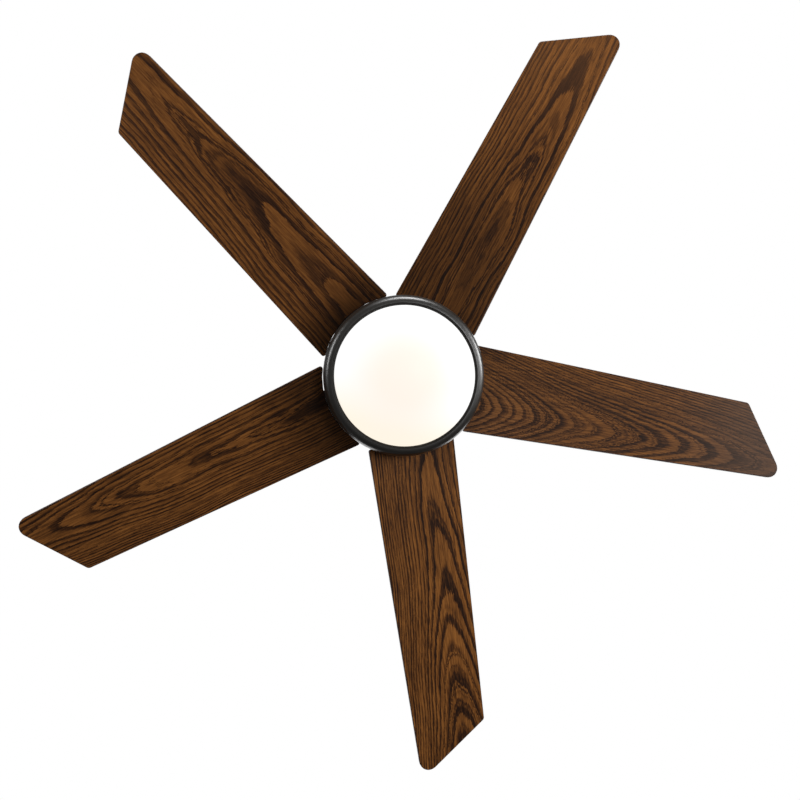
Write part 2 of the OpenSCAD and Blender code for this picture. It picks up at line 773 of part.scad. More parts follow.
// the pan's outline, from its centre hole out and down to its rolled lip; skin steps it inwards
function pan_path(skin) = concat([[pan_hole_r, pan_top - skin]],
  arc(ring_r - shoulder_r, widest_z, shoulder_r - skin, 90, 0, 10),
  arc(ring_r - side_r, widest_z, side_r - skin, -side_turn / 4, -side_turn, 5),
  arc(roll_r, roll_z, ring_roll_r - skin, -side_turn - 10, -90, 9),
  arc(roll_r, ring_bot + lip_roll, lip_roll - skin, -90 - lip_turn / 5, -90 - lip_turn, 5));

module light_pan() {
  color("#3a302b") difference() {
    rotate_extrude() polygon(concat(pan_path(0), rev(pan_path(ring_t))));
    pan_screw_spots() cylinder(r = 2.2, h = 8, center = true);
    post_spots() translate([0, 0, pan_top]) cylinder(r = 2.2, h = 8, center = true);
  }
}

module pan_screws() {
  color("silver") pan_screw_spots() translate([0, 0, -ring_t]) rotate([180, 0, 0])
    screw(2, ring_t + flange_drop - 0.5, 3.5, 2.2);
}

module led_driver() {
  box = [84, 34, 15];
  color("whitesmoke") translate([-box[0] / 2, 27, pan_top - ring_t - box[2]])
    linear_extrude(box[2]) polygon(rounded([[0, 0], [box[0], 0], [box[0], box[1]], [0, box[1]]],
      [3, 3, 3, 3]));
}

module run_capacitor() {
  box = [48, 18, 15];
  color("#202022") translate([-box[0] / 2, -45 - box[1], pan_top - ring_t - box[2]])
    linear_extrude(box[2]) polygon(rounded([[0, 0], [box[0], 0], [box[0], box[1]], [0, box[1]]],
      [2, 2, 2, 2]));
}

module post_spots() {
  for (a = [90, 210, 330]) rotate([0, 0, a]) translate([post_at, 0, 0]) children();
}

module led_standoffs() {
  color("silver") post_spots() difference() {
    union() {
      translate([0, 0, plate_z]) cylinder(r = 4, h = pan_top - ring_t - plate_z, $fn = 6);
      translate([0, 0, pan_top - ring_t - eps]) cylinder(r = 2.2, h = ring_t);
    }
    translate([0, 0, plate_z - 1]) cylinder(r = 1.5, h = 9);
  }
}

// white reflector plate; its turned-in rim locks the glass
module led_plate() {
  rim_outline = [[0, plate_z], [plate_r, plate_z], [plate_r, rim_z], [rim_in, rim_z],
    [rim_in, rim_z + rim_t], [plate_r - rim_t, rim_z + rim_t], [plate_r - rim_t, plate_z - rim_t],
    [0, plate_z - rim_t]];
  color("white") difference() {
    union() {
      rotate_extrude() polygon(rim_outline);
      lug_spots(lug_span / 2 + 2.3) translate([0, 0, rim_z + rim_t / 2])
        sector(plate_r - rim_t / 2, rim_in, rim_t / 2 + lug_h, 3);
    }
    post_spots() translate([0, 0, plate_z]) cylinder(r = 1.8, h = 8, center = true);
    lug_spots(-glass_twist) translate([0, 0, rim_z - 1])
      sector(plate_r - rim_t - 0.1, rim_in - 5, rim_t + 2, notch_span);
    translate([0, 0, plate_z]) cylinder(r = 9, h = 8, center = true);
  }
}

module lug_spots(turn) {
  for (i = [0:lug_count - 1]) rotate([0, 0, 90 + i * 360 / lug_count + turn]) children();
}

// piece of a flat ring, centred on +X
module sector(r_out, r_in, h, span) {
  rotate([0, 0, -span / 2]) rotate_extrude(angle = span)
    translate([r_in, 0]) square([r_out - r_in, h]);
}

module led_plate_screws() {
  color("silver") post_spots() translate([0, 0, plate_z - rim_t]) rotate([180, 0, 0])
    screw(1.5, rim_t + 6, 3, 1.8);
}

module led_board() {
  color("ivory") tube(board_r, board_in, plate_z - rim_t - board_t, plate_z - rim_t);
}

module led_chips() {
  low = plate_z - rim_t - board_t - 0.8;
  color("khaki") {
    for (i = [0:led_count - 1]) rotate([0, 0, i * 360 / led_count])
      translate([board_r - 12, -1.75, low]) cube([3.5, 3.5, 0.8]);
    for (i = [0:led_count / 2 - 1]) rotate([0, 0, i * 720 / led_count])
      translate([board_r / 2, -1.75, low]) cube([3.5, 3.5, 0.8]);
  }
}

// opal bowl with a neck and three lugs that hook over the plate's rim
module glass_dome() {
  cap_r = (glass_r * glass_r + glass_depth * glass_depth) / (2 * glass_depth);
  cap_z = glass_rim - glass_depth + cap_r;
  rim_angle = asin(glass_r / cap_r);
  in_r = cap_r - glass_t;
  in_angle = asin((neck_r - glass_t) / in_r);
  neck_top = rim_z + rim_t + seat + lug_h;
  outside = arc(0, cap_z, cap_r, -90, -90 + rim_angle, 24);
  inside = arc(0, cap_z, in_r, -90 + in_angle, -90, 24);
  color([1, 0.97, 0.9]) {
    rotate_extrude() polygon(concat(outside, [[glass_r, shoulder_z], [neck_r, shoulder_z],
      [neck_r, neck_top], [neck_r - glass_t, neck_top]], inside));
    lug_spots(0) translate([0, 0, neck_top - lug_h])
      sector(lug_reach, neck_r - glass_t / 2, lug_h, lug_span);
  }
}

hanger_bracket();
remote_receiver();
canopy();
canopy_screws();
hanger_ball();
ball_pin();
downrod();
wire_sleeve();
motor_coupling();
coupling_pin();
coupling_clip();
coupling_set_screws();
coupling_cover();
motor_housing();
housing_screws();
reverse_switch();
motor_shaft();
stator_core();
stator_windings();
bearing_inner_rings();
light_flange();
flange_nut();
light_pan();
pan_screws();
led_driver();
run_capacitor();
led_standoffs();
led_plate();
led_plate_screws();
led_board();
led_chips();
rotor_lower_shell();
rotor_upper_shell();
rotor_shell_screws();
rotor_ring();
bearing_outer_rings();
bearing_balls();
bearing_cages();
blade_iron(0);  // blade_iron_1
blade_iron(1);  // blade_iron_2
blade_iron(2);  // blade_iron_3
blade_iron(3);  // blade_iron_4
blade_iron(4);  // blade_iron_5
iron_screws();
blade(0);  // blade_1
blade(1);  // blade_2
blade(2);  // blade_3
blade(3);  // blade_4
blade(4);  // blade_5
blade_inserts();
blade_screws();
glass_dome();
switch_slider();
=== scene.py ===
import json
import math

import bmesh
import bpy
from mathutils import Matrix, Vector


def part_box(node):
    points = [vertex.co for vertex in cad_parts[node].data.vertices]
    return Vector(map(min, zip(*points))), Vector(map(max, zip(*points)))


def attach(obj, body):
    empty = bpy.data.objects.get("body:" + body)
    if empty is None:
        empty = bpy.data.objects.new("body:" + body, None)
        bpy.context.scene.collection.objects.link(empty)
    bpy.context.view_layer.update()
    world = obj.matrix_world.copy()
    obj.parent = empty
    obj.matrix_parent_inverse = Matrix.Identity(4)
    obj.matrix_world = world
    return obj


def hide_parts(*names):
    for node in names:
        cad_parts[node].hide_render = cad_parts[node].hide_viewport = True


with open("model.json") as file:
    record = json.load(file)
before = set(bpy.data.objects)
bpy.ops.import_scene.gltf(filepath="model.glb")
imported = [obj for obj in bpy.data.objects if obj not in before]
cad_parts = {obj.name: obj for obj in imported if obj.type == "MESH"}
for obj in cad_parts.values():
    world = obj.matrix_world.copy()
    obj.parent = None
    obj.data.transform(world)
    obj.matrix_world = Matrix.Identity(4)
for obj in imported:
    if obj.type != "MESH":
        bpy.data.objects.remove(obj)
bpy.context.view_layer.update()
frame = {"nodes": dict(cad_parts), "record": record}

nodes = frame["nodes"]
slotOf = {part["node"]: part["material_slot"] for part in frame["record"]["subparts"]}
mm = 0.001
print("frame loaded:", len(nodes), "pieces from the CAD")

bladeCount = 5
bladeLow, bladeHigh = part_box("blade_1")
bladeZ = (bladeLow.z + bladeHigh.z) / 2
bladePitch = math.radians(12)
bladeThick = 5.5 * mm


def bladePlane(i):
    # a blade's own plane: x along it from the fan's axis, y to its long edge, z up through it
    turn = Matrix.Rotation(i * 2 * math.pi / bladeCount, 4, "Z")
    return Matrix.Translation((0, 0, bladeZ)) @ turn @ Matrix.Rotation(-bladePitch, 4, "X")


def meshOf(node, move=None):
    # a working copy of a CAD node's mesh
    work = bmesh.new()
    work.from_mesh(nodes[node].data)
    if move:
        bmesh.ops.transform(work, matrix=move, verts=work.verts)
    bmesh.ops.remove_doubles(work, verts=work.verts, dist=1e-6)
    return work


def islands(node, move=None):
    # lowest and highest corner of each loose solid in a CAD node, always in the same order
    work = meshOf(node, move)
    waiting, found = set(work.verts), []
    while waiting:
        group, edge = [], [waiting.pop()]
        while edge:
            vert = edge.pop()
            group.append(vert.co.copy())
            near = [link.other_vert(vert) for link in vert.link_edges]
            edge += [other for other in near if other in waiting]
            waiting -= set(near)
        found.append([Vector(pick(co[k] for co in group) for k in range(3)) for pick in (min, max)])
    work.free()
    return sorted(found, key=lambda box: tuple(box[0]))


def widestHeight(node):
    # height at which a turned CAD node is widest
    reach = max(nodes[node].data.vertices, key=lambda v: round(v.co.x ** 2 + v.co.y ** 2, 9))
    return reach.co.z


class Wire:
    # a socket in a material's node tree, so that shader maths reads as a plain sum
    def __init__(self, tree, socket):
        self.tree = tree
        self.socket = socket

    def node(self, kind, settings=None, sockets=None, out=0):
        # adds a node: its settings first, then the values or wires of its sockets
        made = self.tree.nodes.new("ShaderNode" + kind)
        for key, value in (settings or {}).items():
            if key == "stops":
                setStops(made.color_ramp, value)
            else:
                setattr(made, key, value)
        for key, value in (sockets or {}).items():
            if isinstance(value, Wire):
                self.tree.links.new(value.socket, made.inputs[key])
            else:
                made.inputs[key].default_value = value
        return Wire(self.tree, None if out is None else made.outputs[out])

    def out(self, name):
        return Wire(self.tree, self.socket.node.outputs[name])

    def math(self, operation, *values):
        return self.node("Math", {"operation": operation}, dict(enumerate(values)))

    def __add__(self, other):
        return self.math("ADD", self, other)

    def __radd__(self, other):
        return self.math("ADD", other, self)

    def __sub__(self, other):
        return self.math("SUBTRACT", self, other)

    def __rsub__(self, other):
        return self.math("SUBTRACT", other, self)

    def __mul__(self, other):
        return self.math("MULTIPLY", self, other)

    def __rmul__(self, other):
        return self.math("MULTIPLY", other, self)

    def __truediv__(self, other):
        return self.math("DIVIDE", self, other)

    def __pow__(self, other):
        return self.math("POWER", self, other)

    def stretch(self, x, y, z):
        return self.node("VectorMath", {"operation": "MULTIPLY"}, {0: self, 1: (x, y, z)})

    def shift(self, x, y, z):
        return self.node("VectorMath", {"operation": "ADD"}, {0: self, 1: (x, y, z)})

    def noise(self, scale=1, detail=2, rough=0.5):
        # self is the place, already stretched to the pattern's proportions
        return self.node("TexNoise", {}, {"Vector": self, "Scale": scale, "Detail": detail,
                                          "Roughness": rough})

    def between(self, low, high, start=0, end=1):
        # smooth step from start at low to end at high
        return self.node("MapRange", {"interpolation_type": "SMOOTHSTEP"},
                         {0: self, 1: low, 2: high, 3: start, 4: end})

    def mix(self, first, second):
        # self is the share of the second colour
        return self.node("Mix", {"data_type": "RGBA"}, {0: self, 6: first, 7: second}, out=2)

    def ramp(self, stops):
        return self.node("ValToRGB", {"stops": stops}, {0: self})

    def bump(self, strength, distance):
        # self is the height
        return self.node("Bump", {}, {"Height": self, "Strength": strength, "Distance": distance})


def setStops(ramp, stops):
    while len(ramp.elements) < len(stops):
        ramp.elements.new(1)
    for element, (spot, colour) in zip(ramp.elements, stops):
        element.position = spot
        element.color = (*colour, 1)


def paint(r, g, b):
    return (r, g, b, 1)


def newFinish(name):
    # an empty material and the wire of its surface's own coordinates, in metres
    material = bpy.data.materials.new(name)
    material.use_nodes = True
    tree = material.node_tree
    tree.nodes.clear()
    return material, Wire(tree, tree.nodes.new("ShaderNodeTexCoord").outputs["Object"])


def endFinish(material, place, sockets):
    # the shader's own sockets take plain values or wires
    shader = place.node("BsdfPrincipled", {}, sockets)
    place.node("OutputMaterial", {}, {"Surface": shader}, out=None)
    return material


# stained oak, flat sawn: the face cuts the growth rings in nested arches along a heart line,
# each ring starting sharp and dark with pores and fading to pale wood

oak = {
    "tones": [    # the stain, from palest wood to the pores
        (0.0, (0.330, 0.1270, 0.0300)),
        (0.30, (0.175, 0.0652, 0.0165)),
        (0.52, (0.090, 0.0335, 0.0098)),
        (0.78, (0.0400, 0.0155, 0.0066)),
        (1.0, (0.0200, 0.0080, 0.0042)),
    ],
    "sheen": 0.08,
    "smoothWood": 0.37, "openWood": 0.54,    # roughness between the pores and in them
    "root": 132,                # millimetres from the fan's axis to a blade's inner end
    "paintedSheenReach": (430, 640),    # where the painted sheen sets in and where it is full
    "leanFrom": 200,            # where the heart line's place across the blade is given
    "bendWidth": 40,            # over how long a stretch the rings change their pace
    "swayShare": 4,             # how much of its noise reaches the heart line
    "waverShare": 0.75,         # and the rings' long waves
    "uneven": 0.9, "unevenPace": 0.9,      # how unequal the rings are, and how quickly that changes
    "firstRing": 40,            # keeps the count of rings above 0
    "bandWidth": (0.45, 0.40),  # the dark part of a ring: the least, and what its luck adds
    "bandDepth": (0.70, 0.30),
    "nextRing": (0.90, 1.0, 0, 0.9),    # a ring's last tenth darkens towards the next
    "bandShare": 0.88,          # how much each pattern counts in the stain's depth
    "streakShare": 0.85,
    "cloudShare": 0.35,
    "poreEdge": (0.40, 0.62),
    "poreDeep": 0.24, "poreFlat": 0.30,    # pores in the dark part of a ring, and everywhere
    "dentEdge": (0.50, 0.70),
    "dentDeep": 0.7, "dentFlat": 0.3,      # the same for the dents that they leave
    "bump": (0.25, 0.0003),
    "offset": 0.49, "contrast": 0.60, "middleTone": 0.51,
}

# how fine each pattern is along, across and through a board, in waves to the metre
oakGrain = {
    "sway": (6, 3, 0), "waver": (15, 45, 1), "feather": (48, 620, 1),
    "pores": (30, 500, 40), "streaks": (12, 330, 10), "clouds": (6, 26, 1),
}

# for each blade, in millimetres: the heart line's place across it and how far it drifts along it,
# how blunt the arches are, how much blunter on one side, and how far out they turn straight,
# how far apart the rings are, how fast they pass along the blade, where that pace bends and by how
# much, the start, how far the heart line sways, how ragged the rings' edges are, the seed of its
# noise, how pale the stain came out, how strong the grain shows in it, how much painted shade
# darkens it at the root (below 0: paints it paler) and how far out that painted shade reaches, and
# a painted sheen that evens out the grain at some tips
oakBoards = [
    {"heart": 29, "lean": 0.022, "deep": 70, "skew": 0.00, "far": 150, "ring": 3.0,
     "pace": 0.118, "bendAt": 280, "bend": -0.40, "start": 0.0, "sway": 4, "ragged": 0.72,
     "seed": 3.1, "pale": 0.475, "strong": 1.32, "rootPaintedShade": -0.10, "paintedShadeReach": 540,
     "paintedSheen": (0.60, paint(0.046, 0.029, 0.0205))},
    {"heart": -24, "lean": 0.002, "deep": 56, "skew": 0.11, "far": 200, "ring": 4.2,
     "pace": -0.0587, "bendAt": 366, "bend": 0.43, "start": 0.3, "sway": 4, "ragged": 0.50,
     "seed": 9.4, "pale": 0.77, "strong": 1.50, "rootPaintedShade": 0.10, "paintedShadeReach": 60},
    {"heart": 20, "lean": 0.004, "deep": 43, "skew": -0.02, "far": 200, "ring": 4.4,
     "pace": 0.0425, "bendAt": 440, "bend": 0.60, "start": 0.2, "sway": 4, "ragged": 0.46,
     "seed": 17.7, "pale": 1.10, "strong": 1.27, "rootPaintedShade": 0.61, "paintedShadeReach": 170},
    {"heart": 20, "lean": 0.028, "deep": 52, "skew": 0.12, "far": 500, "ring": 7.0,
     "pace": 0.0420, "bendAt": 300, "bend": 0.0, "start": 0.8, "sway": 5, "ragged": 0.40,
     "seed": 25.2, "pale": 1.03, "strong": 1.00, "rootPaintedShade": 0.66, "paintedShadeReach": 85},
    {"heart": 20, "lean": 0.004, "deep": 40, "skew": 0.05, "far": 500, "ring": 8.0,
     "pace": 0.0135, "bendAt": 280, "bend": 3.2, "start": 0.5, "sway": 6, "ragged": 0.40,
     "seed": 33.8, "pale": 1.13, "strong": 1.06, "rootPaintedShade": 0.63, "paintedShadeReach": 540,
     "paintedSheen": (0.28, paint(0.154, 0.063, 0.020))},
]


def growthRings(place, spot, board):
    # how far through its growth ring each place is, from 0 to 1, and a number of luck for each ring
    parts = place.node("SeparateXYZ", {}, {0: place})
    along, across = parts.out("X") * 1000, parts.out("Y") * 1000
    sway = spot.stretch(*oakGrain["sway"]).noise(detail=1) - 0.5
    sway = sway * board["sway"] * oak["swayShare"]
    side = across - board["heart"] - (along - oak["leanFrom"]) * board["lean"] - sway
    side = side + side.math("ABSOLUTE", side) * board["skew"]
    cone = side * side / (board["deep"] * 2) / (side.math("ABSOLUTE", side) / board["far"] + 1)
    past = along - board["bendAt"]
    bent = (past * past + oak["bendWidth"] ** 2) ** 0.5 * board["bend"]
    run = (along + bent) * board["pace"]
    waver = spot.stretch(*oakGrain["waver"]).noise(detail=2) - 0.5
    waver = waver * board["ring"] * oak["waverShare"]
    feather = spot.stretch(*oakGrain["feather"]).noise(detail=2, rough=0.7) - 0.5
    feather = feather * board["ring"] * board["ragged"]
    even = (cone + run + waver + feather) / board["ring"] + (board["start"] + oak["firstRing"])
    uneven = even.node("TexNoise", {"noise_dimensions": "1D"},
                       {"W": even * oak["unevenPace"] + board["seed"], "Detail": 1})
    rings = even + (uneven - 0.5) * oak["uneven"]
    luck = rings.node("TexWhiteNoise", {"noise_dimensions": "1D"},
                      {"W": rings.math("FLOOR", rings)})
    return along, rings.math("FRACT", rings), luck


def oakFinish(name, board):
    material, place = newFinish(name)
    spot = place.shift(board["seed"], 0, 0)
    along, turn, luck = growthRings(place, spot, board)
    pores = spot.stretch(*oakGrain["pores"]).noise(detail=3, rough=0.7)
    streaks = spot.stretch(*oakGrain["streaks"]).noise(detail=2)
    clouds = spot.stretch(*oakGrain["clouds"]).noise(detail=1)
    width, widthLuck = oak["bandWidth"]
    depth, depthLuck = oak["bandDepth"]
    band = (turn / (luck * widthLuck + width)).between(0, 1, 1, 0) * (luck * depthLuck + depth)
    band = band.math("MAXIMUM", band, turn.between(*oak["nextRing"]))
    fleck = pores.between(*oak["poreEdge"]) * (band * oak["poreDeep"] + oak["poreFlat"])
    shade = band * oak["bandShare"] + fleck + (streaks - 0.5) * oak["streakShare"]
    shade = shade + (clouds - 0.5) * oak["cloudShare"] - oak["offset"]
    shade = shade * board["strong"] * oak["contrast"] + oak["middleTone"]
    colour = shade.ramp(oak["tones"])
    # painted shade: the colour is darkened from the root outwards, standing in for the ring's
    # shadow near the hub and for light falling off along some blades; below 0 it paints the root
    # paler
    pale = along.between(oak["root"], oak["root"] + board["paintedShadeReach"], 1 - board["rootPaintedShade"], 1)
    colour = colour.node("VectorMath", {"operation": "SCALE"},
                         {0: colour, "Scale": pale * board["pale"]})
    # painted sheen: a flat tone mixed in towards some tips, standing in for light reflected off
    # them
    if "paintedSheen" in board:
        share, paintedSheenTone = board["paintedSheen"]
        colour = along.between(*oak["paintedSheenReach"], 0, share).mix(colour, paintedSheenTone)
    dents = pores.between(*oak["dentEdge"]) * (band * oak["dentDeep"] + oak["dentFlat"])
    relief = (1 - dents).bump(*oak["bump"])
    return endFinish(material, place, {
        "Base Color": colour, "Roughness": shade.between(0, 1, oak["smoothWood"], oak["openWood"]),
        "Normal": relief, "Specular IOR Level": oak["sheen"]})


edgeBand = {
    "colour": paint(0.045, 0.0135, 0.0075),
    "fleck": paint(0.02, 0.0075, 0.005),
    "grain": (300, 300, 1200),
    "roughness": 0.4, "specular": 0.4,
}


def edgeFinish():
    material, place = newFinish("oak edge band")
    flecks = place.stretch(*edgeBand["grain"]).noise(detail=2)
    return endFinish(material, place, {
        "Base Color": flecks.between(0.35, 0.65).mix(edgeBand["colour"], edgeBand["fleck"]),
        "Roughness": edgeBand["roughness"], "Specular IOR Level": edgeBand["specular"]})


bronze = {
    "colour": paint(0.0046, 0.0034, 0.0021),
    "fleck": paint(0.0072, 0.0056, 0.0038),
    "roughness": 0.37, "specular": 0.78,
    "lipRoughness": 0.52, "lipSpecular": 0.28,
    "peel": 1400, "patches": 28,    # waves to the metre
    "peelShare": 0.6, "patchShare": 0.4,
    "peelGloss": 0.03, "patchGloss": 0.06, "lipGloss": 0.08,    # their part in the roughness
    "bump": (0.06, 0.0001),
}


def bronzeFinish():
    # fine powder coat: a faint orange peel and a slightly uneven gloss
    material, place = newFinish("dark bronze powder coat")
    peel = place.noise(scale=bronze["peel"], detail=2)
    patches = place.noise(scale=bronze["patches"], detail=2)
    speckle = peel * bronze["peelShare"] + patches * bronze["patchShare"]
    colour = speckle.between(0.35, 0.65).mix(bronze["colour"], bronze["fleck"])
    rough = bronze["roughness"] + (patches - 0.5) * bronze["patchGloss"]
    rough = rough + (peel - 0.5) * bronze["peelGloss"]
    return endFinish(material, place, {
        "Base Color": colour, "Roughness": rough, "Normal": peel.bump(*bronze["bump"]),
        "Specular IOR Level": bronze["specular"]})


def lipFinish():
    # the same coat, left matt where the ring's lip is rolled in towards the glass
    material, place = newFinish("matt bronze lip")
    patches = place.noise(scale=bronze["patches"], detail=2)
    return endFinish(material, place, {
        "Base Color": patches.between(0.35, 0.65).mix(bronze["colour"], bronze["fleck"]),
        "Roughness": bronze["lipRoughness"] + (patches - 0.5) * bronze["lipGloss"],
        "Specular IOR Level": bronze["lipSpecular"]})


opal = {
    "glass": paint(0.11, 0.105, 0.10), "roughness": 0.3, "specular": 0.06,
    "middle": paint(1.0, 0.888, 0.796), "foot": paint(1.0, 0.915, 0.775),
    "rim": paint(1.0, 1.0, 1.0),
    "strength": 0.97,
    "footAzimuth": 97,             # degrees: the side of the bowl that stays warm out to its rim
    "warmFades": (0.26, 0.98),     # shares of the bowl's radius
    "footStarts": (0.12, 0.85),
    "footPull": 0.08,              # how far the warm middle is drawn to that side
    "clouds": 14, "cloudShare": 0.10,
}


def opalFinish():
    # lit from inside: warm in the middle where the light board is nearest, whiter outwards
    material, place = newFinish("lit opal glass")
    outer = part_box("glass_dome")[1].x
    parts = place.node("SeparateXYZ", {}, {0: place})
    x, y = parts.out("X") / outer, parts.out("Y") / outer
    azimuth = math.radians(opal["footAzimuth"])
    toFoot = x * math.cos(azimuth) + y * math.sin(azimuth)
    reach = (x * x + y * y) ** 0.5
    cloud = (place.noise(scale=opal["clouds"], detail=1) - 0.5) * opal["cloudShare"]
    warm = (reach + cloud - toFoot * opal["footPull"]).between(*opal["warmFades"])
    foot = (toFoot + cloud).between(*opal["footStarts"])
    light = warm.mix(opal["middle"], foot.mix(opal["rim"], opal["foot"]))
    return endFinish(material, place, {
        "Base Color": opal["glass"], "Roughness": opal["roughness"],
        "Specular IOR Level": opal["specular"],
        "Emission Color": light, "Emission Strength": opal["strength"]})


# the working parts: one finish for each slot, from its base colour and how it was made
metals = {
    "zinc_steel": {"colour": (0.52, 0.53, 0.53), "rough": 0.34, "grain": (300, 300, 60)},
    "bearing_steel": {"colour": (0.60, 0.60, 0.62), "rough": 0.16, "grain": (90, 90, 2500)},
    "lamination_steel": {"colour": (0.30, 0.31, 0.33), "rough": 0.45, "grain": (30, 30, 2000)},
    "cast_aluminium": {"colour": (0.50, 0.51, 0.52), "rough": 0.52, "grain": (500, 500, 500)},
    "copper_wire": {"colour": (0.50, 0.22, 0.09), "rough": 0.38, "grain": (60, 60, 1400)},
    "brass": {"colour": (0.62, 0.44, 0.18), "rough": 0.28, "grain": (120, 120, 1800)},
}
coatedOrPlastic = {
    "black_steel": {"colour": (0.030, 0.030, 0.032), "rough": 0.50, "grain": (600, 600, 600)},
    "white_plastic": {"colour": (0.72, 0.72, 0.70), "rough": 0.48, "grain": (900, 900, 900)},
    "black_plastic": {"colour": (0.022, 0.022, 0.023), "rough": 0.46, "grain": (900, 900, 900)},
    "white_paint": {"colour": (0.78, 0.78, 0.76), "rough": 0.40, "grain": (700, 700, 700)},
    "board_white": {"colour": (0.74, 0.74, 0.70), "rough": 0.30, "grain": (400, 400, 400)},
    "led_phosphor": {"colour": (0.80, 0.68, 0.22), "rough": 0.35, "grain": (2000, 2000, 2000)},
}

workshop = {
    "patches": 40,
    "darker": 0.82, "paler": 1.12,    # how far a finish strays from its base colour
    "grainGloss": 0.12, "patchGloss": 0.08,
    "bump": (0.12, 0.0001),
}


def workshopFinish(slot, made, metallic):
    material, place = newFinish(slot.replace("_", " "))
    grain = place.stretch(*made["grain"]).noise(detail=3)
    patches = place.noise(scale=workshop["patches"], detail=2)
    darker = paint(*(workshop["darker"] * c for c in made["colour"]))
    paler = paint(*(min(1, workshop["paler"] * c) for c in made["colour"]))
    colour = (grain * 0.5 + patches * 0.5).between(0.3, 0.7).mix(darker, paler)
    rough = made["rough"] + (grain - 0.5) * workshop["grainGloss"]
    rough = rough + (patches - 0.5) * workshop["patchGloss"]
    return endFinish(material, place, {
        "Base Color": colour, "Roughness": rough, "Metallic": metallic,
        "Normal": grain.bump(*workshop["bump"])})


finishes = {slot: workshopFinish(slot, made, 1) for slot, made in metals.items()}
finishes |= {slot: workshopFinish(slot, made, 0) for slot, made in coatedOrPlastic.items()}
finishes["dark_bronze"] = bronzeFinish()
finishes["opal_glass"] = opalFinish()
boardFinishes = [oakFinish(f"stained oak {i + 1}", board) for i, board in enumerate(oakBoards)]
oakEdge = edgeFinish()
print("finishes ready:", len(bpy.data.materials))


def arc(x, z, radius, start, end, steps=16):
    # outlines of turned pieces are lists of points, each a radius and a height
    turns = [math.radians(start + (end - start) * k / steps) for k in range(steps + 1)]
    return [Vector((x + radius * math.cos(a), z + radius * math.sin(a))) for a in turns]


def bowl(neck, top, rim, foot, steps=28):
    # quarter of an oval, from its rim at the foot up to its neck
    turns = [math.pi / 2 * k / steps for k in range(steps + 1)]
    wide, tall = rim - neck, top - foot
    return [Vector((neck + wide * math.cos(a), foot + tall * math.sin(a))) for a in turns]


def rounded(points, radii, steps=5):
    # an outline with each corner turned into an arc of its own radius
    made = []
    for k, radius in enumerate(radii):
        corner = Vector(points[k])
        back = (Vector(points[k - 1]) - corner).normalized()
        ahead = (Vector(points[(k + 1) % len(points)]) - corner).normalized()
        if not radius:
            made.append(corner)
            continue
        half = back.angle(ahead) / 2
        centre = corner + (back + ahead).normalized() * radius / math.sin(half)
        first = corner + back * radius / math.tan(half) - centre
        last = corner + ahead * radius / math.tan(half) - centre
        sweep = first.angle_signed(last)
        made += [centre + Matrix.Rotation(-sweep * n / steps, 2) @ first for n in range(steps + 1)]
    return made


def sheetOutline(path, thick):
    # a bent sheet's closed outline: its outside, a round edge, its inside, and a round edge again
    inside = []
    for k, point in enumerate(path):
        along = path[min(k + 1, len(path) - 1)] - path[max(k - 1, 0)]
        inside.append(point + Vector((-along.y, along.x)).normalized() * thick)
    ends = []
    for outer, inner, last in ((path[-1], inside[-1], path[-2]), (inside[0], path[0], inside[1])):
        middle = (outer + inner) / 2
        away = (outer - last).normalized() * thick / 2
        ends.append([middle + (outer - middle) * math.cos(a) + away * math.sin(a)
                     for a in (math.pi / 4, math.pi / 2, math.pi * 3 / 4)])
    return path + ends[0] + inside[::-1] + ends[1]


def turned(outline, steps=192):
    # an outline turned about the fan's axis
    work = bmesh.new()
    rings = []
    for i in range(steps):
        a = 2 * math.pi * i / steps
        rings.append([work.verts.new((r * math.cos(a), r * math.sin(a), z)) for r, z in outline])
    for i, ring in enumerate(rings):
        following = rings[(i + 1) % steps]
        for k in range(len(ring)):
            m = (k + 1) % len(ring)
            if outline[k][0] > 0 or outline[m][0] > 0:
                work.faces.new((ring[k], ring[m], following[m], following[k]))
    return work


def tidy(work):
    bmesh.ops.remove_doubles(work, verts=work.verts, dist=1e-6)
    bmesh.ops.dissolve_degenerate(work, edges=work.edges, dist=1e-7)
    bmesh.ops.recalc_face_normals(work, faces=work.faces)
    return work


def prism(corners, low, high):
    # a flat outline raised from low to high
    work = bmesh.new()
    foot = [work.verts.new((x, y, low)) for x, y in corners]
    head = [work.verts.new((x, y, high)) for x, y in corners]
    work.faces.new(foot[::-1])
    work.faces.new(head)
    for k in range(len(foot)):
        m = (k + 1) % len(foot)
        work.faces.new((foot[k], foot[m], head[m], head[k]))
    return tidy(work)


def circle(radius, x=0, y=0, steps=32):
    turns = [2 * math.pi * k / steps for k in range(steps)]
    return [(x + radius * math.cos(a), y + radius * math.sin(a)) for a in turns]


def joined(parts):
    # several working meshes in one
    whole = bmesh.new()
    for part in parts:
        spare = bpy.data.meshes.new("part")
        part.to_mesh(spare)
        part.free()
        whole.from_mesh(spare)
        bpy.data.meshes.remove(spare)
    return whole


def moved(work, move):
    bmesh.ops.transform(work, matrix=move, verts=work.verts)
    return work


def asObject(name, work, place=None):
    mesh = bpy.data.meshes.new(name)
    work.to_mesh(mesh)
    work.free()
    made = bpy.data.objects.new(name, mesh)
    bpy.context.scene.collection.objects.link(made)
    if place:
        made.matrix_world = place
    return made


def combine(target, other, operation="DIFFERENCE"):
    # takes a working mesh out of a piece, or adds it, for good
    tool = asObject("tool", other, target.matrix_world)
    step = target.modifiers.new("step", "BOOLEAN")
    step.operation = operation
    step.object = tool
    step.solver = "EXACT"
    bpy.context.view_layer.update()
    graph = bpy.context.evaluated_depsgraph_get()
    made = bpy.data.meshes.new_from_object(target.evaluated_get(graph))
    target.modifiers.clear()
    target.data = made
    bpy.data.objects.remove(tool)


def softenRims(work, chosen, width, steps=3):
    bmesh.ops.bevel(work, geom=chosen, offset=width, segments=steps, profile=0.5, affect="EDGES",
                    clamp_overlap=True)


